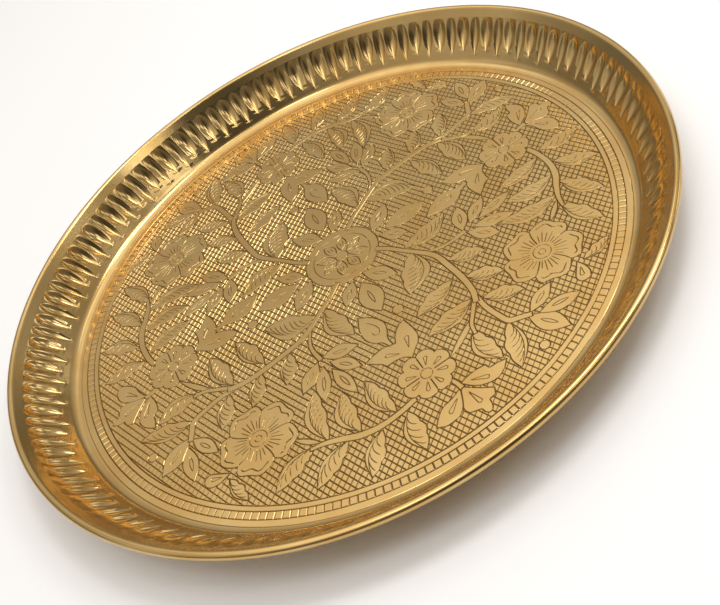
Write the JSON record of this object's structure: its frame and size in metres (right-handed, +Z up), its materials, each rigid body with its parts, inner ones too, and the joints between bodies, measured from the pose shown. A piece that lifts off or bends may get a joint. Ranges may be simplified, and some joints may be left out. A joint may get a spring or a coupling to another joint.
{
  "type": "round serving tray",
  "caption": "Round brass serving tray with an engraved floor, a border of small squares, a fluted sloping wall and a rolled, wired edge.",
  "frame": {"origin": "centre of the underside of the floor, where the tray rests on a table", "axes": "+Z up along the tray's axis of revolution; the engraved pattern repeats four times round it, and its small flowers lie on X and Y"},
  "size_m": [0.305, 0.305, 0.0228],
  "materials": {
    "brass_sheet": "polished on the lands, scratched and lightly aged in the engraving",
    "edge_wire": "drawn wire, hidden in the curl"
  },
  "bodies": {
    "root": {"tray_pan": "brass_sheet", "rim_wire": "edge_wire"}
  },
  "joints": []
}
